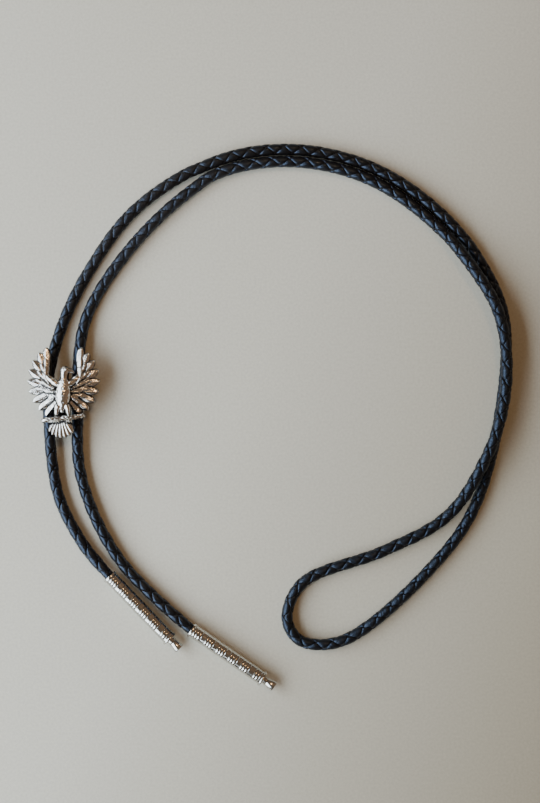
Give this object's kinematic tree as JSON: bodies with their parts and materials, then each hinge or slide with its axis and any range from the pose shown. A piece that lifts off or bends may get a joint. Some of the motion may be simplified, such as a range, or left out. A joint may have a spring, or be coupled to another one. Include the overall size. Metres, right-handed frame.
{
  "type": "bolo tie",
  "caption": "Bolo tie lying flat: a doubled neck cord of braided leather with ringed metal tips, held by a cast silver eagle slide on a plain back clip.",
  "frame": {"origin": "centre of the clip's flat back face, which lies on the floor under the slide", "axes": "+Y up the slide from the tips towards the neck loop, +X to the right seen from above, +Z out of the slide's face"},
  "size_m": [0.1666, 0.1895, 0.0117],
  "materials": {
    "cord": "black braided leather, semi-gloss, waxed",
    "tip": "bright silver-plated brass, turned with groups of fine rings",
    "figure": "cast silver, polished on the high places and blackened in the recesses",
    "clip": "nickel-plated steel sheet, satin"
  },
  "bodies": {
    "root": {"cord": "cord", "tip_left": "tip", "tip_right": "tip", "slide_figure": "figure", "slide_clip": "clip"}
  },
  "joints": []
}
